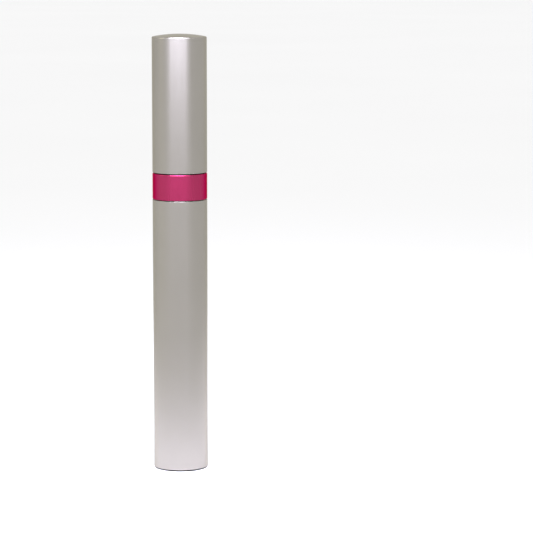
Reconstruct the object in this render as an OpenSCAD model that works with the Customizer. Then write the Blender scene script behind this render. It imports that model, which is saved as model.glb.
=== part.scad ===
// Mascara tube: a screw-capped metal tube with a curved twisted-wire brush.
// The closed tube stands on its foot, its axis on Z and the middle of the foot at the origin.
// All sizes are in millimetres.

/* [Tube] */
// Outer diameter of the bottle, the ring and the cap
tube_d = 17; // [16.6:0.1:17.6]
// Height of the bottle shell's upper edge
bottle_h = 84.6; // [84:0.1:100]
// Height of the coloured ring
ring_h = 8; // [7.5:0.1:10]
// Height of the cap
cap_h = 42.7; // [40:0.1:50]
// Dark gap below and above the ring
seam = 0.25; // [0.15:0.05:0.4]
// Wall of the metal shells
shell_wall = 0.4; // [0.3:0.05:0.45]

/* [Neck] */
// Height of the neck above the ring
neck_h = 12.1; // [11.5:0.1:13]
// Diameter of the neck between its threads
neck_d = 11.5; // [11.3:0.05:11.6]
// Diameter over the threads
thread_d = 13.1; // [12.8:0.05:13.2]
// Rise of the thread in one turn
thread_pitch = 2.12; // [2:0.01:2.2]
// Diameter of the bore through the neck
bore_d = 9.4; // [9:0.1:9.6]
// Diameter of the collar at the root of the neck
collar_d = 13.3; // [13.1:0.05:13.4]
// Height of that collar above the ring
collar_h = 2.75; // [2:0.05:3]

/* [Vial] */
// Wall of the vial below its shoulder
vial_wall = 0.9; // [0.7:0.05:1]
// Height of the inside floor of the vial
vial_floor = 13; // [11:0.5:13]

/* [Applicator] */
// Diameter of the stem at the cap
stem_d = 4.2; // [3.8:0.1:4.4]
// Diameter of the stem at the brush
stem_tip_d = 3.7; // [3.2:0.1:3.8]
// Length of stem that shows below the cap
stem_l = 46; // [44:0.5:47]
// Length of the brush along its curve
brush_l = 29; // [26:0.5:29.5]
// Distance from the stem's axis to the tip of the brush
brush_bend = 3.8; // [1:0.1:4]
// Turns of bristles
brush_turns = 14; // [10:1:16]
// Diameter of the brush at the stem
brush_d = 6.4; // [5:0.1:6.6]
// Diameter of the brush at its tip
brush_tip_d = 5.4; // [4:0.1:5.6]

/* [Hidden] */
$fn = 96;

// clearances between pieces that are glued, that slide and that turn
glued = 0.05;
sliding = 0.1;
turning = 0.2;

// how far a cutting shape reaches past the face that it opens
over = 1;

// levels from the table upwards
foot_t = 0.4;
ring_low = bottle_h + seam;
ring_top = ring_low + ring_h;
cap_low = ring_top + seam;
cap_top = cap_low + cap_h;
neck_top = ring_top + neck_h;

// radii shared by several pieces
tube_r = tube_d / 2;
shell_r = tube_r - shell_wall;
neck_r = neck_d / 2;
thread_r = thread_d / 2;
bore_r = bore_d / 2;
collar_r = collar_d / 2;
stem_r = stem_d / 2;

// black lips at the foot and at the lower seam, which stand back from the metal
lip_inset = 0.2;
lip_r = tube_r - lip_inset;

// vial and base plug
vial_gap = 0.3;
vial_r = shell_r - vial_gap;
vial_in_r = vial_r - vial_wall;
vial_floor_t = 1.2;
vial_low = vial_floor - vial_floor_t;
shoulder_drop = 3.5;
shoulder_low = bottle_h - shoulder_drop;
shoulder_h = 2.5;
plug_floor_t = 1.6;
plug_hollow_r = 6;

// collar ring: an inverted cup whose flange closes round the neck's collar
ring_wall = 0.5;
ring_flange_t = 0.5;

// wiper, whose flange lies flush in a recess of the neck's rim
neck_rim_t = 0.55;
wiper_flange_r = neck_r - neck_rim_t;
wiper_flange_t = 0.5;
wiper_l = 10.8;
wiper_hole_r = stem_r + glued;

// sealing liner, with the play below it that lets the cap unscrew before the bead lifts it
liner_t = 1;
liner_inset = 0.4;
liner_low = neck_top;
liner_play = 3.4;
ceiling = liner_low + liner_t + glued;

// Threads run between two angles, in degrees from the right-hand side of the tube. A ridge is [half its
// width at the root, half its width at the crest]. The cap's thread lies midway between the neck's turns.
male_z = ring_top + 4;
male_from = 130;
male_to = 740;
male_ridge = [0.62, 0.18];
female_z = male_z - thread_pitch / 2;
female_from = 205;
female_to = 600;
female_ridge = [0.5, 0.22];
ridge_sunk = 0.4;
fade_angle = 35;
least_fade = 0.04;
facets_per_turn = 24;

// inner cap
skirt_inset = 0.45;
skirt_low = cap_low + skirt_inset;
skirt_r = shell_r - glued;
skirt_in_r = thread_r + turning;
ceiling_t = 1.2;
socket_r = 3.4;
socket_l = 12;
shank_step = 0.2;
socket_bore_r = stem_r - shank_step;
rib_count = 8;
rib_t = 0.9;
rib_top = ceiling + socket_l;

// cap weight
weight_r = 7.6;
weight_h = 9;
weight_hole_r = 2;

// cap dome
dome_rise = 0.7;
dome_steps = 8;
cap_edge_r = 0.5;
cap_inner_edge_r = 0.2;

// stem and brush
stem_end = cap_low - stem_l;
wire_r = 0.55;
wire_grip = 8;
bend_r = brush_l * brush_l / (2 * brush_bend);
bend_angle = brush_l / bend_r * 180 / PI;
turn_pitch = brush_l / brush_turns;
turn_root_t = 1.3;
turn_rim_t = 0.9;
shank_bead_r = 0.15;
shank_bead_h = 0.6;
shank_bead_up = 8;
shank_bead_z = ceiling + shank_bead_up;

metal = [0.80, 0.77, 0.73];
pink = [0.77, 0.20, 0.42];
black = [0.05, 0.05, 0.06];
dark_grey = [0.13, 0.13, 0.15];
steel = [0.55, 0.56, 0.58];

function turn_name(i) = str("bristle_turn_", i < 10 ? "0" : "", i);

// Points of an arc about [cx, cz], from one angle to another
function arc(cx, cz, r, from, to, steps = 6) =
    [for (i = [0:steps]) let (a = from + (to - from) * i / steps) [cx + r * cos(a), cz + r * sin(a)]];

// A closed outline turned about the tube's axis
module turned(outline) {
    rotate_extrude() polygon(outline);
}

// A solid round blank whose top is a shallow dome with a rounded edge
module domed_blank(r, low, top, edge) {
    flat_r = r - edge;
    dome_r = (flat_r * flat_r + dome_rise * dome_rise) / (2 * dome_rise);
    tilt = asin(flat_r / dome_r);
    edge_z = top - dome_rise - edge;
    outline = concat(
        [[0, low], [r, low]],
        arc(flat_r, edge_z, edge, 0, 90 - tilt),
        [for (i = [dome_steps - 1:-1:0])
            let (x = flat_r * i / dome_steps) [x, top - dome_r + sqrt(dome_r * dome_r - x * x)]]
    );
    turned(outline);
}

// One cross-section of a thread: its root is sunk into the wall and its crest fades out at both ends
function thread_ring(angle, z0, from, to, wall_r, crest_r, ridge) =
    let (
        fade = max(least_fade, min(1, (angle - from) / fade_angle, (to - angle) / fade_angle)),
        root = wall_r - sign(crest_r - wall_r) * ridge_sunk,
        tip = wall_r + (crest_r - wall_r) * fade,
        half_root = ridge[0],
        half_tip = half_root + (ridge[1] - half_root) * fade,
        z = z0 + thread_pitch * angle / 360
    )
    [for (p = [[root, -half_root], [tip, -half_tip], [tip, half_tip], [root, half_root]])
        [p[0] * cos(angle), p[0] * sin(angle), z + p[1]]];

// A right-hand thread swept between two angles, from the level it would have at angle 0. It stands out from
// its wall where its crest is the larger radius, and inwards where its crest is the smaller one.
module thread(z0, from, to, wall_r, crest_r, ridge) {
    steps = round((to - from) / 360 * facets_per_turn);
    rings = [for (i = [0:steps])
        thread_ring(from + (to - from) * i / steps, z0, from, to, wall_r, crest_r, ridge)];
    points = [for (ring = rings) each ring];
    sides = [for (i = [0:steps - 1], k = [0:3])
        let (a = 4 * i + k, b = 4 * i + (k + 1) % 4) each [[a, b, b + 4], [a, b + 4, a + 4]]];
    last = 4 * steps;
    ends = [[2, 1, 0], [3, 2, 0], [last, last + 1, last + 2], [last, last + 2, last + 3]];
    faces = concat(sides, ends);
    polyhedron(points, crest_r < wall_r ? [for (f = faces) [f[2], f[1], f[0]]] : faces);
}

// Moves its children to a distance along the brush's curve and lays them across it
module on_brush(distance) {
    translate([-bend_r, 0, stem_end])
        rotate([0, distance / bend_r * 180 / PI, 0])
            translate([bend_r, 0, 0]) children();
}

module bottle_shell() {
    foot_edge = 0.3;
    color(metal)
        turned(concat(
            [[shell_r, foot_t]],
            arc(tube_r - foot_edge, foot_t + foot_edge, foot_edge, -90, 0),
            [[tube_r, bottle_h], [shell_r, bottle_h]]
        ));
}

// A hollow plug with a flange below and a cross of ribs in its hollow
module base_plug() {
    chamfer = 0.15;
    spigot_r = shell_r - glued;
    cross_t = 1;
    cross_h = 6;
    cross_low = plug_floor_t - 0.2;
    cross_r = (plug_hollow_r + spigot_r) / 2;
    color(black) {
        difference() {
            turned([
                [0, 0],
                [lip_r - chamfer, 0],
                [lip_r, chamfer],
                [lip_r, foot_t],
                [spigot_r, foot_t],
                [spigot_r, vial_low],
                [0, vial_low]
            ]);
            translate([0, 0, plug_floor_t]) cylinder(r = plug_hollow_r, h = vial_low);
        }
        intersection() {
            translate([0, 0, foot_t]) cylinder(r = cross_r, h = vial_low - foot_t);
            for (a = [0, 90])
                rotate(a) translate([-tube_r, -cross_t / 2, cross_low]) cube([tube_d, cross_t, cross_h]);
        }
    }
}

module vial() {
    corner = 1;
    rim_chamfer = 0.3;
    funnel_low = shoulder_low - 0.5;
    funnel_top = shoulder_low + 3;
    inside = concat(
        [[0, vial_floor]],
        arc(vial_in_r - corner, vial_floor + corner, corner, -90, 0),
        [[vial_in_r, funnel_low], [bore_r, funnel_top], [bore_r, neck_top + over], [0, neck_top + over]]
    );
    recess_r = wiper_flange_r + glued;
    color(black)
        difference() {
            union() {
                turned(concat(
                    [[0, vial_low]],
                    arc(vial_r - corner, vial_low + corner, corner, -90, 0),
                    [
                        [vial_r, shoulder_low],
                        [collar_r, shoulder_low + shoulder_h],
                        [collar_r, ring_top + collar_h],
                        [neck_r, ring_top + collar_h],
                        [neck_r, neck_top - rim_chamfer],
                        [neck_r - rim_chamfer, neck_top],
                        [0, neck_top]
                    ]
                ));
                thread(male_z, male_from, male_to, neck_r, thread_r, male_ridge);
            }
            turned(inside);
            translate([0, 0, neck_top - wiper_flange_t]) cylinder(r = recess_r, h = wiper_flange_t + over);
        }
}

// A bush that centres the vial's shoulder in the shell and carries the ring
module collar_insert() {
    spigot_r = shell_r - glued;
    sleeve_r = tube_r - ring_wall - glued;
    sleeve_top = ring_top - ring_flange_t;
    slope = (vial_r - collar_r) / shoulder_h;
    cone_up = 0.8;
    cone_low = shoulder_low + cone_up;
    cone_r = vial_r - slope * cone_up + glued;
    color(black)
        turned([
            [cone_r, cone_low],
            [spigot_r, cone_low],
            [spigot_r, bottle_h],
            [lip_r, bottle_h],
            [lip_r, ring_low],
            [sleeve_r, ring_low],
            [sleeve_r, sleeve_top],
            [collar_r + glued, sleeve_top],
            [collar_r + glued, shoulder_low + shoulder_h]
        ]);
}

module collar_ring() {
    edge = 0.35;
    inner_r = tube_r - ring_wall;
    color(pink)
        turned(concat(
            [[inner_r, ring_low], [tube_r, ring_low]],
            arc(tube_r - edge, ring_top - edge, edge, 0, 90),
            [
                [collar_r + glued, ring_top],
                [collar_r + glued, ring_top - ring_flange_t],
                [inner_r, ring_top - ring_flange_t]
            ]
        ));
}

// A sleeve with a flange at its mouth, narrowing below through a shoulder to a thin lip round the stem
module wiper() {
    sleeve_r = bore_r - glued;
    low = neck_top - wiper_l;
    flange_low = neck_top - wiper_flange_t;
    mouth_t = 0.35;
    mouth_h = 1;
    upper_t = 0.7;
    lower_t = 0.9;
    lip_t = 0.3;
    taper_h = 2.6;
    inner_taper_h = 3;
    shoulder = [sleeve_r - 1.2, low + 0.6];
    inner_shoulder = [sleeve_r - 1.8, low + 1.1];
    color(dark_grey)
        turned([
            [wiper_hole_r, low],
            shoulder,
            [sleeve_r, low + taper_h],
            [sleeve_r, flange_low],
            [wiper_flange_r, flange_low],
            [wiper_flange_r, neck_top],
            [sleeve_r - mouth_t, neck_top],
            [sleeve_r - upper_t, neck_top - mouth_h],
            [sleeve_r - lower_t, low + inner_taper_h],
            inner_shoulder,
            [wiper_hole_r, low + lip_t]
        ]);
}

module liner() {
    hole_r = stem_r + sliding;
    rim_r = neck_r - liner_inset;
    liner_top = liner_low + liner_t;
    color("white")
        turned([[hole_r, liner_low], [rim_r, liner_low], [rim_r, liner_top], [hole_r, liner_top]]);
}

module cap_weight() {
    chamfer = 0.5;
    color(steel)
        turned([
            [weight_hole_r, rib_top],
            [weight_r - chamfer, rib_top],
            [weight_r, rib_top + chamfer],
            [weight_r, rib_top + weight_h - chamfer],
            [weight_r - chamfer, rib_top + weight_h],
            [weight_hole_r, rib_top + weight_h]
        ]);
}

module cap_shell() {
    color(metal)
        difference() {
            domed_blank(tube_r, cap_low, cap_top, cap_edge_r);
            domed_blank(shell_r, cap_low - over, cap_top - shell_wall, cap_inner_edge_r);
        }
}

// A threaded skirt with a ceiling, and above it the stem's socket between ribs that carry the weight
module inner_cap() {
    relief_r = collar_r + turning;
    relief_top = ring_top + collar_h + 0.4;
    thread_top = ring_top + 9;
    upper_bore_r = neck_r + 0.35;
    skirt_top = ceiling + ceiling_t;
    rib_h = socket_l - ceiling_t;
    rib_in_r = socket_bore_r + 0.5;
    rib_out_r = skirt_r - 0.1;
    color(black) {
        difference() {
            turned([[0, skirt_low], [skirt_r, skirt_low], [skirt_r, skirt_top], [0, skirt_top]]);
            translate([0, 0, skirt_low - over]) cylinder(r = relief_r, h = relief_top - skirt_low + over);
            translate([0, 0, skirt_low]) cylinder(r = skirt_in_r, h = thread_top - skirt_low);
            translate([0, 0, skirt_low]) cylinder(r = upper_bore_r, h = ceiling - skirt_low);
            translate([0, 0, skirt_low]) cylinder(r = socket_bore_r, h = cap_h);
        }
        thread(female_z, female_from, female_to, skirt_in_r, neck_r + turning, female_ridge);
        difference() {
            union() {
                translate([0, 0, skirt_top]) cylinder(r = socket_r, h = rib_h);
                for (i = [0:rib_count - 1])
                    rotate(i * 360 / rib_count)
                        translate([rib_in_r, -rib_t / 2, skirt_top])
                            cube([rib_out_r - rib_in_r, rib_t, rib_h]);
            }
            translate([0, 0, ceiling]) cylinder(r = socket_bore_r, h = socket_l + over);
            translate([0, 0, shank_bead_z])
                cylinder(r = socket_bore_r + shank_bead_r, h = shank_bead_h + glued);
        }
    }
}

// A tapered rod with a bead that meets the wiper, a shank held in the cap and a socket for the wire
module stem() {
    shank_r = socket_bore_r - glued / 2;
    shank_l = 11;
    bead_r = stem_r + 0.3;
    bead_h = 0.5;
    bead_top = liner_low - liner_play;
    end_chamfer = 0.35;
    tip_r = stem_tip_d / 2;
    color(black)
        difference() {
            union() {
                turned([
                    [0, stem_end],
                    [tip_r - end_chamfer, stem_end],
                    [tip_r, stem_end + end_chamfer],
                    [stem_r, cap_low],
                    [stem_r, bead_top - bead_h],
                    [bead_r, bead_top - bead_h],
                    [bead_r, bead_top],
                    [stem_r, bead_top],
                    [stem_r, ceiling],
                    [shank_r, ceiling],
                    [shank_r, ceiling + shank_l],
                    [0, ceiling + shank_l]
                ]);
                translate([0, 0, shank_bead_z]) cylinder(r = shank_r + shank_bead_r, h = shank_bead_h);
            }
            translate([0, 0, stem_end - over]) cylinder(r = wire_r + glued, h = wire_grip + over);
        }
}

// The straight end held in the stem, the bent core of the brush, and the small knuckle where they meet
module brush_wire() {
    knuckle_r = wire_r + 0.02;
    color(steel) {
        translate([0, 0, stem_end]) cylinder(r = wire_r, h = wire_grip);
        translate([0, 0, stem_end]) sphere(r = knuckle_r);
        translate([-bend_r, 0, stem_end])
            rotate([90, 0, 0])
                rotate(-bend_angle)
                    rotate_extrude(angle = bend_angle) translate([bend_r, 0]) circle(wire_r);
    }
}

// One turn of bristles: a round brush pad on the wire, thicker at the wire than at its rim
module bristle_turn(i) {
    along = (i - 0.5) * turn_pitch;
    rim_r = (brush_d + (brush_tip_d - brush_d) * along / brush_l) / 2;
    hole_r = wire_r + glued;
    color(dark_grey)
        on_brush(along)
            turned([
                [hole_r, -turn_root_t / 2],
                [rim_r, -turn_rim_t / 2],
                [rim_r, turn_rim_t / 2],
                [hole_r, turn_root_t / 2]
            ]);
}

bottle_shell();
base_plug();
vial();
collar_insert();
collar_ring();
wiper();
liner();
cap_weight();
cap_shell();
inner_cap();
stem();
brush_wire();
for (i = [1:brush_turns])
    bristle_turn(i);
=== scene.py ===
# The looks of the mascara tube: fine turned shells, a threaded neck, a wiper, a stem and a curved
# twisted-wire brush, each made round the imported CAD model's own sizes. Lengths are in metres.
import math
import random

import bmesh
import bpy
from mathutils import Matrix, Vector


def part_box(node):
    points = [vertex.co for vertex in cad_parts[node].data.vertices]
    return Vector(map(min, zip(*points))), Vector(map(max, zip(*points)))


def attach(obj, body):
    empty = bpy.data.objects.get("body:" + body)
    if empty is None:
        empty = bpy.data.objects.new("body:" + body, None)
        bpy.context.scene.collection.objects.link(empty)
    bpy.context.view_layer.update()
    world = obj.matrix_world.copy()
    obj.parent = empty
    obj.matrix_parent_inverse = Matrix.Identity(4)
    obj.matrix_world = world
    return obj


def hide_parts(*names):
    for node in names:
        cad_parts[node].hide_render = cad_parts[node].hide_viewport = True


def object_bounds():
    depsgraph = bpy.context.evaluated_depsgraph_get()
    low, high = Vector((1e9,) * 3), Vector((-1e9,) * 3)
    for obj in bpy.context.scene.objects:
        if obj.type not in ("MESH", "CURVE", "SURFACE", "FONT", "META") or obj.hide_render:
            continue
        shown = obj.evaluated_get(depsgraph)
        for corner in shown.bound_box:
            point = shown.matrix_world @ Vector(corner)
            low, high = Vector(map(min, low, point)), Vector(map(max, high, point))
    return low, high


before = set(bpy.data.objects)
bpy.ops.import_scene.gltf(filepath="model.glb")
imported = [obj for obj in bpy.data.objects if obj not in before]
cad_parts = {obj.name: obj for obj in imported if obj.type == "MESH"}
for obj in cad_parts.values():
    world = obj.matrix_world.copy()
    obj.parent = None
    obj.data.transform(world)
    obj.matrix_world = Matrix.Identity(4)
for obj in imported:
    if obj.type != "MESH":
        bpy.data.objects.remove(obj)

cad_low, cad_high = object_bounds()

MM = 0.001
FLATS = 160  # flats round a turned piece
CORNER_STEPS = 6  # steps round a rounded corner
CORNER_SHARE = 0.45  # the most of an edge that a rounded corner takes
SUPPORT_REACH = 1.15  # a point this many times further out keeps the shading beside the corner clean
SUPPORT_SHARE = 0.48  # the most of an edge that lies between that point and the corner
DOME_STEPS = 10  # steps from a dome's middle to its edge
ON_AXIS = 1e-6  # a smaller radius is a point on the axis
SAME_POINT = 1e-7  # points closer than this are joined
GLUED = 0.05 * MM  # gap between glued pieces
FLANGE_OVER = 0.5 * MM  # how far the wiper's flange reaches past the neck's bore


# ---------------------------------------------------------------- sizes read from the frame

def low_of(node):
    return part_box(node)[0].z


def top_of(node):
    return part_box(node)[1].z


def radius_of(node):
    """The largest radius of a piece turned about the tube's axis."""
    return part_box(node)[1].x


def bore_of(node):
    """The smallest distance between a CAD node's points and the tube's axis."""
    return min(math.hypot(v.co.x, v.co.y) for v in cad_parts[node].data.vertices)


TURNS = sorted(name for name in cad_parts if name.startswith("bristle_turn_"))

tube_r = radius_of("bottle_shell")
shell_r = bore_of("bottle_shell")
collar_r = bore_of("collar_insert") - GLUED
bore_r = radius_of("wiper") - FLANGE_OVER
neck_top = top_of("vial")
ring_top = top_of("collar_ring")
cap_low = low_of("cap_shell")
stem_end = low_of("stem")
stem_r = bore_of("wiper") - GLUED
ceiling = top_of("liner") + GLUED


class Brush:
    """The brush's curve: an arc that leaves the stem straight down and bends towards -X.

    It passes through the middle of the last turn, which lies half a turn short of the brush's end."""

    def __init__(self):
        low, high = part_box(TURNS[-1])
        tip = (low + high) / 2
        drop = stem_end - tip.z
        self.bend_r = (tip.x ** 2 + drop ** 2) / (2 * abs(tip.x))
        self.pitch = self.bend_r * math.asin(drop / self.bend_r) / (len(TURNS) - 0.5)
        self.length = self.pitch * len(TURNS)
        self.root_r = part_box(TURNS[0])[1].y
        self.tip_r = high.y

    def at(self, along):
        """Point on the curve, the direction out of the bend, and the direction towards the tip."""
        if along < 0:
            return Vector((0, 0, stem_end - along)), Vector((1, 0, 0)), Vector((0, 0, -1))
        angle = along / self.bend_r
        outward = Vector((math.cos(angle), 0, -math.sin(angle)))
        forward = Vector((-math.sin(angle), 0, -math.cos(angle)))
        centre = Vector((-self.bend_r, 0, stem_end))
        return centre + outward * self.bend_r, outward, forward

    def rim_at(self, along):
        """How far the bristles reach there. They get shorter evenly towards the tip."""
        return self.root_r + (self.tip_r - self.root_r) * along / self.length


# ---------------------------------------------------------------- shapes

def rounded(outline):
    """Turns an outline of (radius, height, corner) points into points with an arc of that radius at each."""
    points = []
    count = len(outline)
    for i, (r, z, corner) in enumerate(outline):
        here = Vector((r, z))
        if not corner:
            points.append(here)
            continue
        before = Vector(outline[i - 1][:2]) - here
        after = Vector(outline[(i + 1) % count][:2]) - here
        half = before.angle(after) / 2
        shorter = min(before.length, after.length)
        reach = min(corner / math.tan(half), CORNER_SHARE * shorter)
        middle = here + (before.normalized() + after.normalized()).normalized() * reach / math.cos(half)
        first = here + before.normalized() * reach - middle
        last = here + after.normalized() * reach - middle
        support = min(SUPPORT_REACH * reach, SUPPORT_SHARE * shorter)
        points.append(here + before.normalized() * support)
        for step in range(CORNER_STEPS + 1):
            points.append(middle + first.slerp(last, step / CORNER_STEPS) * first.length)
        points.append(here + after.normalized() * support)
    return points


def add_turned(build, outline, closed=False):
    """Adds a turned surface to a bmesh. A closed outline joins its last point to its first."""
    rings = []
    for r, z in rounded(outline):
        if r < ON_AXIS:
            rings.append([build.verts.new((0, 0, z))] * FLATS)
            continue
        turn = [2 * math.pi * i / FLATS for i in range(FLATS)]
        rings.append([build.verts.new((r * math.cos(a), r * math.sin(a), z)) for a in turn])
    pairs = list(zip(rings, rings[1:]))
    if closed:
        pairs.append((rings[-1], rings[0]))
    for near, far in pairs:
        for i in range(FLATS):
            j = (i + 1) % FLATS
            corners = []
            for vert in (near[i], near[j], far[j], far[i]):
                if vert not in corners:
                    corners.append(vert)
            build.faces.new(corners)


def finished(name, build, sharp_angle=35):
    """Turns a bmesh into a smooth object with clean, outward-facing faces."""
    bmesh.ops.remove_doubles(build, verts=build.verts, dist=SAME_POINT)
    bmesh.ops.recalc_face_normals(build, faces=build.faces)
    mesh = bpy.data.meshes.new(name)
    build.to_mesh(mesh)
    build.free()
    mesh.shade_smooth()
    mesh.set_sharp_from_angle(angle=math.radians(sharp_angle))
    piece = bpy.data.objects.new(name, mesh)
    bpy.context.scene.collection.objects.link(piece)
    return piece


def turned(name, outline, closed=True):
    """One turned piece on the tube's axis."""
    build = bmesh.new()
    add_turned(build, outline, closed)
    return finished(name, build)


def dome(radius, top, rise):
    """Points of a shallow dome from its middle out to just inside the given radius."""
    dome_r = (radius ** 2 + rise ** 2) / (2 * rise)
    points = []
    for i in range(DOME_STEPS):
        x = radius * i / DOME_STEPS
        points.append((x, top - dome_r + math.sqrt(dome_r ** 2 - x ** 2), 0))
    return points


def add_tube(build, points, radii, sides, start):
    """Adds a closed tube through the points, its flats lined up with the start direction."""
    rings = []
    for i, point in enumerate(points):
        along = (points[min(i + 1, len(points) - 1)] - points[max(i - 1, 0)]).normalized()
        across = along.cross(start).normalized()
        up = across.cross(along)
        ring = []
        for k in range(sides):
            angle = 2 * math.pi * k / sides
            spoke = across * math.cos(angle) + up * math.sin(angle)
            ring.append(build.verts.new(point + spoke * radii[i]))
        rings.append(ring)
    for near, far in zip(rings, rings[1:]):
        for k in range(sides):
            build.faces.new((near[k], near[(k + 1) % sides], far[(k + 1) % sides], far[k]))
    build.faces.new(rings[0][::-1])
    build.faces.new(rings[-1])


# ---------------------------------------------------------------- thread

THREAD_PITCH = 2.12 * MM
THREAD_FADE = math.radians(35)  # the angle over which the thread grows at each end
SPARE_TURNS = 2  # turns beyond the wall's ends, which are pressed flat onto those ends
# Cross-section of the neck's thread: millimetres above the crest, and the share of the full depth there.
# Its underside is steep and its upper side slopes.
NECK_THREAD = [
    (-0.80, 0), (-0.42, 0), (-0.34, 0.10), (-0.22, 0.82), (-0.17, 0.95), (-0.10, 1),
    (-0.02, 0.97), (0.06, 0.88), (0.30, 0.50), (0.50, 0.16), (0.60, 0.04), (0.72, 0),
]


def add_thread(build, low, high, wall_r, depth, crest_z, first, last, profile):
    """Adds a wall between two heights with a right-hand thread on it.

    The thread runs between two angles and has its crest at crest_z at angle 0. The rows of points follow the
    helix, so row r of one turn goes on as the same row of the next turn."""
    rows = len(profile)
    first_turn = math.floor((low - crest_z) / THREAD_PITCH) - SPARE_TURNS
    end_turn = math.ceil((high - crest_z) / THREAD_PITCH) + SPARE_TURNS
    grid = []
    for turn in range(first_turn, end_turn):
        for offset, share in profile:
            row = []
            for i in range(FLATS):
                angle = 2 * math.pi * i / FLATS
                total = angle + 2 * math.pi * turn
                fade = min(1, (total - first) / THREAD_FADE, (last - total) / THREAD_FADE)
                r = wall_r + depth * share * max(0, fade)
                z = crest_z + THREAD_PITCH * total / (2 * math.pi) + offset * MM
                z = min(max(z, low), high)
                row.append(build.verts.new((r * math.cos(angle), r * math.sin(angle), z)))
            grid.append(row)
    for near, far, next_near, next_far in zip(grid, grid[1:], grid[rows:], grid[rows + 1:]):
        for i in range(FLATS - 1):
            build.faces.new((near[i], near[i + 1], far[i + 1], far[i]))
        build.faces.new((near[-1], next_near[0], next_far[0], far[-1]))


# ---------------------------------------------------------------- materials

NOISE_LOW, NOISE_HIGH = 0.3, 0.7  # most of a noise texture's values lie between these


def new_material(name, **settings):
    """A node material and its Principled shader, with the given values on the shader's sockets."""
    material = bpy.data.materials.new(name)
    material.use_nodes = True
    shader = material.node_tree.nodes["Principled BSDF"]
    for socket, value in settings.items():
        shader.inputs[socket.replace("_", " ")].default_value = value
    return material, material.node_tree, shader


def noise(tree, size, detail=3, stretch=(1, 1, 1)):
    """Noise of the given grain size in metres, fixed to the piece."""
    place = tree.nodes.new("ShaderNodeTexCoord")
    mapping = tree.nodes.new("ShaderNodeMapping")
    mapping.inputs["Scale"].default_value = stretch
    tree.links.new(place.outputs["Object"], mapping.inputs["Vector"])
    texture = tree.nodes.new("ShaderNodeTexNoise")
    texture.inputs["Scale"].default_value = 1 / size
    texture.inputs["Detail"].default_value = detail
    tree.links.new(mapping.outputs["Vector"], texture.inputs["Vector"])
    return texture.outputs["Fac"]


def roughen(tree, shader, value, low, high):
    """Varies the surface's roughness between two values."""
    span = tree.nodes.new("ShaderNodeMapRange")
    span.inputs["From Min"].default_value = NOISE_LOW
    span.inputs["From Max"].default_value = NOISE_HIGH
    span.inputs["To Min"].default_value = low
    span.inputs["To Max"].default_value = high
    tree.links.new(value, span.inputs["Value"])
    tree.links.new(span.outputs["Result"], shader.inputs["Roughness"])


def mottle(tree, shader, value, first, second):
    """Colours the surface between two near tones."""
    ramp = tree.nodes.new("ShaderNodeValToRGB")
    ramp.color_ramp.elements[0].position = NOISE_LOW
    ramp.color_ramp.elements[1].position = NOISE_HIGH
    ramp.color_ramp.elements[0].color = (*first, 1)
    ramp.color_ramp.elements[1].color = (*second, 1)
    tree.links.new(value, ramp.inputs["Fac"])
    tree.links.new(ramp.outputs["Color"], shader.inputs["Base Color"])


def relief(tree, shader, value, depth):
    """Bumps the surface by the given depth in metres."""
    bump = tree.nodes.new("ShaderNodeBump")
    bump.inputs["Distance"].default_value = depth
    tree.links.new(value, bump.inputs["Height"])
    tree.links.new(bump.outputs["Normal"], shader.inputs["Normal"])


def shaded(colour, share):
    """A colour made darker or lighter."""
    return tuple(channel * share for channel in colour)


def satin_metal(name, colour, edge_tint, roughness):
    """Satin anodised aluminium: a fine grain, faint clouds in its tint, and drawing lines along the tube."""
    material, tree, shader = new_material(name, Metallic=1, Specular_Tint=(*edge_tint, 1))
    clouds = noise(tree, size=14 * MM, detail=2)
    lines = noise(tree, size=0.45 * MM, stretch=(1, 1, 0.006))
    grain = noise(tree, size=0.1 * MM, detail=1)
    mottle(tree, shader, clouds, shaded(colour, 0.985), shaded(colour, 1.015))
    roughen(tree, shader, lines, roughness - 0.01, roughness + 0.01)
    relief(tree, shader, grain, depth=0.0012 * MM)
    return material


def moulded_plastic(name, colour, roughness, gloss, grain, depth):
    """Moulded plastic with a slight unevenness in its gloss and its surface."""
    material, tree, shader = new_material(name, IOR=1.5, Specular_IOR_Level=gloss)
    flow = noise(tree, size=3 * MM)
    sheen = noise(tree, size=0.8 * MM)
    mottle(tree, shader, flow, shaded(colour, 0.85), shaded(colour, 1.15))
    roughen(tree, shader, sheen, roughness - 0.04, roughness + 0.06)
    relief(tree, shader, noise(tree, size=grain, detail=2), depth)
    return material


def bare_steel(name, colour, roughness):
    """Turned or drawn steel, with fine lines round the tube's axis."""
    material, tree, shader = new_material(name, Metallic=1)
    stains = noise(tree, size=0.6 * MM, detail=4)
    lines = noise(tree, size=0.3 * MM, detail=2, stretch=(0.2, 0.2, 3))
    mottle(tree, shader, stains, shaded(colour, 0.85), colour)
    roughen(tree, shader, lines, roughness - 0.06, roughness + 0.06)
    relief(tree, shader, lines, depth=0.002 * MM)
    return material


def bristle_nylon():
    """Black nylon fibre, a little uneven in its tone and its gloss."""
    material, tree, shader = new_material("bristle_nylon", IOR=1.53, Specular_IOR_Level=0.18)
    dark, light = (0.003, 0.0025, 0.003), (0.008, 0.0065, 0.007)
    mottle(tree, shader, noise(tree, size=0.5 * MM), dark, light)
    roughen(tree, shader, noise(tree, size=0.3 * MM), 0.34, 0.5)
    return material


def liner_foam():
    """Grey closed-cell foam."""
    material, tree, shader = new_material("liner_foam", Roughness=0.8)
    dark, light = (0.30, 0.30, 0.29), (0.42, 0.42, 0.41)
    cells = noise(tree, size=0.15 * MM, detail=4)
    mottle(tree, shader, cells, dark, light)
    relief(tree, shader, cells, depth=0.03 * MM)
    return material


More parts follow.
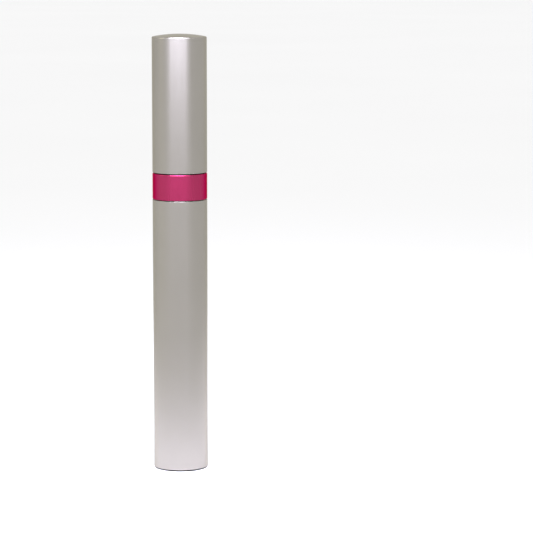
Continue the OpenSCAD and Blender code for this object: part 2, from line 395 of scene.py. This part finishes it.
satin = satin_metal(
    "satin_aluminium", (0.366, 0.346, 0.313), edge_tint=(0.72, 0.70, 0.62), roughness=0.26,
)
pink = satin_metal(
    "pink_aluminium", (0.40, 0.037, 0.110), edge_tint=(0.80, 0.22, 0.30), roughness=0.28,
)
black = moulded_plastic(
    "black_plastic", (0.0035, 0.0035, 0.004), roughness=0.16, gloss=0.14, grain=0.6 * MM, depth=0.003 * MM,
)
stem_plastic = moulded_plastic(
    "stem_plastic", (0.005, 0.0055, 0.009), roughness=0.3, gloss=0.22, grain=0.25 * MM, depth=0.003 * MM,
)
rubber = moulded_plastic(
    "wiper_rubber", (0.008, 0.008, 0.009), roughness=0.45, gloss=0.2, grain=0.2 * MM, depth=0.003 * MM,
)
steel = bare_steel("weight_steel", (0.46, 0.45, 0.44), roughness=0.35)
# The wire's steel is much darker than bare steel: painted shade, for the shade it lies in among the
# bristles.
wire_steel = bare_steel("wire_steel", (0.13, 0.125, 0.12), roughness=0.3)
nylon = bristle_nylon()
foam = liner_foam()


# ---------------------------------------------------------------- pieces

def fit(piece, body, slot, material, *nodes):
    """Gives a piece its material and body, and hides the CAD nodes it stands for, if any."""
    piece.data.materials.append(material)
    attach(piece, body)
    if nodes:
        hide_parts(*nodes)


def make_cap():
    """The cap's shell: a deep-drawn cup with a shallow dome, a rounded shoulder and a thin open rim."""
    low, top = low_of("cap_shell"), top_of("cap_shell")
    wall = tube_r - shell_r
    rise = 0.85 * MM
    outline = [
        *dome(tube_r, top, rise), (tube_r, top - rise, 0.6 * MM), (tube_r, low, 0.1 * MM),
        (shell_r, low, 0.1 * MM), (shell_r, top - wall - rise, 0.3 * MM),
        *reversed(dome(shell_r, top - wall, rise)),
    ]
    cap = turned("satin_cap", outline, closed=False)
    fit(cap, "cap", "satin_aluminium", satin, "cap_shell")


def make_ring():
    """The pink ring: a shallow inverted cup whose top closes round the neck's collar."""
    low, top = low_of("collar_ring"), ring_top
    wall = 0.5 * MM
    inner = tube_r - wall
    throat = collar_r + GLUED
    outline = [
        (inner, low, 0.05 * MM), (tube_r, low, 0.1 * MM), (tube_r, top, 0.35 * MM),
        (throat, top, 0.08 * MM), (throat, top - wall, 0), (inner, top - wall, 0.2 * MM),
    ]
    fit(turned("pink_ring", outline), "bottle", "pink_aluminium", pink, "collar_ring")


def make_bottle():
    """The bottle's shell: a plain tube with a rounded foot and a fine upper edge."""
    low, top = low_of("bottle_shell"), top_of("bottle_shell")
    outline = [
        (shell_r, low, 0), (tube_r, low, 0.3 * MM),
        (tube_r, top, 0.1 * MM), (shell_r, top, 0.05 * MM),
    ]
    fit(turned("satin_bottle", outline), "bottle", "satin_aluminium", satin, "bottle_shell")


def make_foot():
    """The foot: a plug whose flange closes the bottle's lower end, hollow above, with a cross of ribs."""
    top = top_of("base_plug")
    flange_r = radius_of("base_plug")
    flange_top = low_of("bottle_shell")
    spigot_r = shell_r - GLUED
    hollow_r = 6 * MM
    floor_z = 1.6 * MM
    edge = 0.3 * MM
    outline = [
        (0, 0, 0), (flange_r, 0, 0.15 * MM), (flange_r, flange_top, 0), (spigot_r, flange_top, 0),
        (spigot_r, top, edge), (hollow_r, top, edge), (hollow_r, floor_z, edge), (0, floor_z, 0),
    ]
    fit(turned("foot_plug", outline, closed=False), "bottle", "black_plastic", black, "base_plug")

    rib_t, rib_top = MM, 7.4 * MM
    sunk = 0.2 * MM  # how far the ribs run into the plug
    build = bmesh.new()
    for half_x, half_y in ((hollow_r + sunk, rib_t / 2), (rib_t / 2, hollow_r + sunk)):
        for vert in bmesh.ops.create_cube(build, size=1)["verts"]:
            vert.co.x *= 2 * half_x
            vert.co.y *= 2 * half_y
            vert.co.z = floor_z - sunk if vert.co.z < 0 else rib_top
    bmesh.ops.bevel(build, geom=build.edges[:], offset=0.15 * MM, segments=2, affect="EDGES")
    fit(finished("foot_ribs", build), "bottle", "black_plastic", black)


def make_vial():
    """The black inner bottle: a straight vial, a shoulder, the collar and the threaded neck."""
    neck_r = bore_r + 1.05 * MM
    vial_low = low_of("vial")
    vial_r = shell_r - 0.3 * MM
    vial_in_r = vial_r - 0.9 * MM
    floor_z = vial_low + 1.2 * MM
    collar_top = ring_top + 2.75 * MM
    shoulder_low = top_of("bottle_shell") - 3.5 * MM
    shoulder_top = shoulder_low + 2.5 * MM
    inner_shoulder_low = shoulder_low - 0.5 * MM
    inner_shoulder_top = shoulder_low + 3 * MM
    recess_r = radius_of("wiper") + GLUED
    recess_z = neck_top - 0.55 * MM
    thread_low = collar_top + 0.3 * MM
    thread_high = neck_top - 1.6 * MM
    build = bmesh.new()
    add_turned(build, [
        (0, floor_z, 0), (vial_in_r, floor_z, MM), (vial_in_r, inner_shoulder_low, MM),
        (bore_r, inner_shoulder_top, MM), (bore_r, recess_z, 0), (recess_r, recess_z, 0),
        (recess_r, neck_top, 0.06 * MM), (neck_r, neck_top, 0.3 * MM), (neck_r, thread_high, 0),
    ])
    add_thread(
        build, thread_low, thread_high, wall_r=neck_r, depth=0.8 * MM, crest_z=ring_top + 4 * MM,
        first=math.radians(130), last=math.radians(740), profile=NECK_THREAD,
    )
    add_turned(build, [
        (neck_r, thread_low, 0), (neck_r, collar_top, 0.15 * MM), (collar_r, collar_top, 0.15 * MM),
        (collar_r, shoulder_top, MM), (vial_r, shoulder_low, MM), (vial_r, vial_low, MM), (0, vial_low, 0),
    ])
    fit(finished("threaded_vial", build), "bottle", "black_plastic", black, "vial")


def make_wiper():
    """The wiper: a flange in the neck's rim, a sleeve in the bore, and a funnel down to a soft lip."""
    low = low_of("wiper")
    flange_r = radius_of("wiper")
    flange_low = neck_top - 0.5 * MM
    sleeve_r = bore_r - GLUED
    hole_r = bore_of("wiper")
    fine, soft = 0.08 * MM, 0.4 * MM
    lip_t = 0.3 * MM
    funnel_r, funnel_z = sleeve_r - 1.2 * MM, low + 0.6 * MM
    sleeve_low = low + 2.6 * MM
    mouth_r = sleeve_r - 0.35 * MM
    throat_r, throat_z = sleeve_r - 0.7 * MM, neck_top - MM
    inside_r, inside_z = sleeve_r - 0.9 * MM, low + 3 * MM
    inner_funnel_r, inner_funnel_z = sleeve_r - 1.8 * MM, low + 1.1 * MM
    outline = [
        (hole_r, low, fine), (funnel_r, funnel_z, soft), (sleeve_r, sleeve_low, soft),
        (sleeve_r, flange_low, 0), (flange_r, flange_low, 0), (flange_r, neck_top, fine),
        (mouth_r, neck_top, 0.2 * MM), (throat_r, throat_z, 0.5 * MM), (inside_r, inside_z, MM),
        (inner_funnel_r, inner_funnel_z, 0.5 * MM), (hole_r, low + lip_t, fine),
    ]
    fit(turned("soft_wiper", outline), "bottle", "wiper_rubber", rubber, "wiper")


def make_stem():
    """The stem: a tapered rod with a nose round the wire, a bead below the liner, and a shank in the cap."""
    top = top_of("stem")
    tip_r, nose_r = 1.4 * MM, 1.85 * MM
    nose_top = stem_end + 0.9 * MM
    hole_r, hole_top = 0.6 * MM, stem_end + 8 * MM
    bead_r, bead_top = stem_r + 0.3 * MM, neck_top - 3.4 * MM
    bead_low = bead_top - 0.5 * MM
    shank_r = stem_r - 0.225 * MM
    catch_r, catch_low = shank_r + 0.15 * MM, ceiling + 8 * MM
    catch_top = catch_low + 0.6 * MM
    fine = 0.1 * MM
    outline = [
        (0, hole_top, 0), (hole_r, hole_top, 0), (hole_r, stem_end, fine), (tip_r, stem_end, 0.25 * MM),
        (nose_r, nose_top, 0.8 * MM), (stem_r, cap_low, 0), (stem_r, bead_low, fine),
        (bead_r, bead_low, fine), (bead_r, bead_top, fine), (stem_r, bead_top, fine),
        (stem_r, ceiling, fine), (shank_r, ceiling, fine), (shank_r, catch_low, 0),
        (catch_r, catch_low, fine), (catch_r, catch_top, fine), (shank_r, catch_top, 0),
        (shank_r, top, 0.3 * MM), (0, top, 0),
    ]
    fit(turned("taper_stem", outline, closed=False), "cap", "stem_plastic", stem_plastic, "stem")


def radial(outward, angle):
    """Direction away from the wire at an angle round it, where 0 points out of the bend."""
    return outward * math.cos(angle) + Vector((0, math.sin(angle), 0))


STRAND_SIDES = 10  # flats round a strand of the wire
STRAND_STEP = 0.12 * MM  # distance between its points


def make_wire(brush):
    """The brush's core: two steel strands twisted round each other along the curve, held in the stem."""
    strand_r = 0.27 * MM
    grip = 7.9 * MM
    count = round((brush.length + grip) / STRAND_STEP)
    build = bmesh.new()
    for strand in (0, 1):
        points = []
        for i in range(count + 1):
            along = -grip + (brush.length + grip) * i / count
            centre, outward, _ = brush.at(along)
            angle = math.pi * (along / brush.pitch + strand)
            points.append(centre + radial(outward, angle) * strand_r)
        rounded_end = [strand_r * 0.85, strand_r * 0.4]
        radii = [strand_r] * (count - 1) + rounded_end
        add_tube(build, points, radii, STRAND_SIDES, Vector((0, 1, 0)))
    wire = finished("twisted_wire", build, sharp_angle=50)
    fit(wire, "cap", "wire_steel", wire_steel, "brush_wire")


FIBRES = 130  # fibres held in each half turn of the wire; each one sticks out on both sides
FIBRE_SIDES = 5  # flats round a fibre
FIBRE_STATIONS = (0, 0.4, 0.75, 0.96, 1)  # where a fibre has its points, as shares of its length
FIBRE_TAPER = (1, 0.95, 0.85, 0.7, 0.35)  # its radius at each of them, as shares of its full radius
# In millimetres: the thinnest and thickest radius, the distance from the wire's middle to a fibre's root,
# and how much a fibre bows along the brush and across it.
FIBRE_RADII = (0.055, 0.07)
FIBRE_ROOT = 0.2
FIBRE_BOW = (0.05, 0.09)
# Unevenness of the fibres on side 0, out of the bend, and on side 1, into it: of their angles, in radians,
# and of their tips along the brush, in millimetres.
ANGLE_SPREAD = (0.22, 0.35)
TIP_SPREAD = (0.15, 0.4)
TRIM_SPREAD = 0.05  # unevenness of their lengths, as a share
STRAY_EVERY = 4  # one fibre in this many is a stray
STRAY_ANGLES = (0.3, 1.7)  # between these, in half turns from the direction out of the bend
TUFT_CROWDING = 1.7  # how strongly the fibres crowd to the middle of a tuft
TUFT_GATHER = 0.42  # how far a tuft's tips draw together along the brush
TUFT_ROUNDING = 0.1  # how much shorter the fibres at a tuft's edges are


def fibre_angle(chance, k, side, turn):
    """Angle of a fibre round the wire. Side 0 is out of the bend, 1 into it; turn goes from -1 to 1."""
    if k % STRAY_EVERY == 0:
        return chance.uniform(*STRAY_ANGLES) * math.pi
    if side == 0:
        even = math.pi / 2 * math.copysign(abs(turn) ** TUFT_CROWDING, turn)
    else:
        even = math.pi / 2 * (turn + 2)
    return even + chance.gauss(0, ANGLE_SPREAD[side])


def add_fibre(build, brush, chance, along, middle, side, turn, angle):
    """One fibre: a slightly bowed, tapered rod from the wire to the brush's rim."""
    outwardness = max(0, math.cos(angle))
    slip = chance.gauss(0, TIP_SPREAD[side]) * MM
    root, outward, forward = brush.at(along)
    tip_centre, tip_outward, _ = brush.at(along + (middle - along) * (TUFT_GATHER * outwardness) + slip)
    trim = TRIM_SPREAD * chance.random()
    length = brush.rim_at(along) * (1 - trim - TUFT_ROUNDING * outwardness * turn ** 2)
    start, end = radial(outward, angle), radial(tip_outward, angle)
    bow_along = forward * chance.gauss(0, FIBRE_BOW[0])
    bow_across = start.cross(forward) * chance.gauss(0, FIBRE_BOW[1])
    bow = (bow_along + bow_across) * MM
    first = root + start * FIBRE_ROOT * MM
    last = tip_centre + end * length
    points = [first.lerp(last, s) + bow * 4 * s * (1 - s) for s in FIBRE_STATIONS]
    fibre_r = chance.uniform(*FIBRE_RADII) * MM
    add_tube(build, points, [fibre_r * share for share in FIBRE_TAPER], FIBRE_SIDES, forward)


def make_bristles(brush, index, node):
    """One half turn of bristles.

    Fibres that point out of the bend gather into a blunt tuft, those that point into it stand apart, and
    the strays point anywhere but straight out of it."""
    chance = random.Random(index)
    middle = (index + 0.5) * brush.pitch
    build = bmesh.new()
    for k in range(FIBRES):
        share = (k + chance.random()) / FIBRES
        along = (index + share) * brush.pitch
        turn = 2 * share - 1
        for side in (0, 1):
            angle = fibre_angle(chance, k, side, turn)
            add_fibre(build, brush, chance, along, middle, side, turn, angle)
    bristles = finished(f"bristles_{index + 1:02d}", build, sharp_angle=60)
    fit(bristles, "cap", "bristle_nylon", nylon, node)


def dress(node, material):
    """Gives a CAD node that stays its own material."""
    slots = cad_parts[node].data.materials
    slots.clear()
    slots.append(material)


brush = Brush()
make_cap()
make_ring()
make_bottle()
make_foot()
make_vial()
make_wiper()
make_stem()
make_wire(brush)
for index, node in enumerate(TURNS):
    make_bristles(brush, index, node)
dress("collar_insert", black)
dress("inner_cap", black)
dress("liner", foam)
dress("cap_weight", steel)


# ---------------------------------------------------------------- studio

# The camera was fitted to the photo's two standing tubes. Its lens and sensor are in millimetres, and its
# reach is in metres.
CAMERA_PLACE = Vector((26.9, -763.2, 164.2)) * MM
CAMERA_DIP = math.radians(7.52)
CAMERA_LENS = 166.7
CAMERA_SENSOR = 36
CAMERA_REACH = 100


def make_camera():
    """The photo's viewpoint: in front of the tube and a little to its right, looking slightly down."""
    data = bpy.data.cameras.new("camera")
    data.lens = CAMERA_LENS
    data.sensor_width = CAMERA_SENSOR
    data.clip_end = CAMERA_REACH
    camera = bpy.data.objects.new("camera", data)
    camera.location = CAMERA_PLACE
    camera.rotation_euler = (math.pi / 2 - CAMERA_DIP, 0, 0)
    bpy.context.scene.collection.objects.link(camera)
    bpy.context.scene.camera = camera


FLOOR_REACH = 20


def make_floor():
    """A plain white floor that reaches past the camera's horizon."""
    build = bmesh.new()
    bmesh.ops.create_grid(build, x_segments=8, y_segments=8, size=FLOOR_REACH)
    floor = finished("floor", build)
    floor.location.z = cad_low.z
    material, tree, shader = new_material("floor_paper", Roughness=0.9)
    dark, light = (0.935, 0.935, 0.935), (0.95, 0.95, 0.95)
    mottle(tree, shader, noise(tree, size=0.4), dark, light)
    floor.data.materials.append(material)


BAND_HEIGHT, WHITE_HEIGHT = 0.09, 0.3  # sines of the elevations of the grey band and of full white


def make_world(horizon_tone, band_tone, high_tone):
    """Even studio surroundings: white overhead, and a softer band of grey above the horizon."""
    world = bpy.data.worlds.new("studio")
    world.use_nodes = True
    tree = world.node_tree
    place = tree.nodes.new("ShaderNodeTexCoord")
    split = tree.nodes.new("ShaderNodeSeparateXYZ")
    ramp = tree.nodes.new("ShaderNodeValToRGB")
    ramp.color_ramp.elements[0].position = 0
    ramp.color_ramp.elements[0].color = (*horizon_tone, 1)
    ramp.color_ramp.elements.new(BAND_HEIGHT).color = (*band_tone, 1)
    ramp.color_ramp.elements[2].position = WHITE_HEIGHT
    ramp.color_ramp.elements[2].color = (*high_tone, 1)
    tree.links.new(place.outputs["Generated"], split.inputs["Vector"])
    tree.links.new(split.outputs["Z"], ramp.inputs["Fac"])
    tree.links.new(ramp.outputs["Color"], tree.nodes["Background"].inputs["Color"])
    bpy.context.scene.world = world


LIGHT_TARGET = Vector((0, 0, cad_high.z - 25 * MM))  # a point in the cap
COOL, WARM = (0.96, 0.95, 1.2), (1.0, 0.95, 0.66)
NARROW, WIDE = 60, 180  # degrees over which a light's beam spreads


def make_light(name, place, size, brightness, colour, spread=WIDE):
    """A soft rectangular light aimed at the cap. Brightness is per area, so a larger light gives more.

    Place is (azimuth, elevation, distance). Azimuth 0 is the camera's side and 90 the tube's right."""
    azimuth, elevation, distance = math.radians(place[0]), math.radians(place[1]), place[2]
    width, height = size
    flat = math.cos(elevation)
    direction = Vector((math.sin(azimuth) * flat, -math.cos(azimuth) * flat, math.sin(elevation)))
    data = bpy.data.lights.new(name, "AREA")
    data.shape = "RECTANGLE"
    data.size = width
    data.size_y = height
    data.energy = brightness * math.pi * width * height
    data.color = colour
    data.spread = math.radians(spread)
    light = bpy.data.objects.new(name, data)
    light.location = LIGHT_TARGET + direction * distance
    light.rotation_mode = "QUATERNION"
    light.rotation_quaternion = direction.to_track_quat("Z", "Y")
    light.visible_camera = False
    bpy.context.scene.collection.objects.link(light)


def make_lights():
    """Three narrow key lights, three more above them, two soft ones in front and a warm one at the left."""
    for side, azimuth, share in (("left", -27, 0.8), ("middle", -3, 1), ("right", 21, 0.75)):
        make_light(f"key_{side}", (azimuth, 8, 0.30), (0.14, 0.06), 0.46 * share, COOL, NARROW)
        make_light(f"key_top_{side}", (azimuth, 45, 0.32), (0.14, 0.20), 1.9 * share, COOL, NARROW)
    make_light("front_left", (-40, 6, 0.9), (0.5, 0.16), 1.0, COOL)
    make_light("front_right", (30, 6, 0.9), (0.5, 0.16), 0.9, COOL)
    make_light("left_panel", (-80, 18, 0.9), (0.3, 0.4), 1.65, WARM)


make_camera()
make_floor()
make_world(horizon_tone=(0.92, 0.92, 0.92), band_tone=(0.80, 0.80, 0.81), high_tone=(1.0, 1.0, 1.0))
make_lights()
bpy.context.scene.view_settings.view_transform = "Standard"
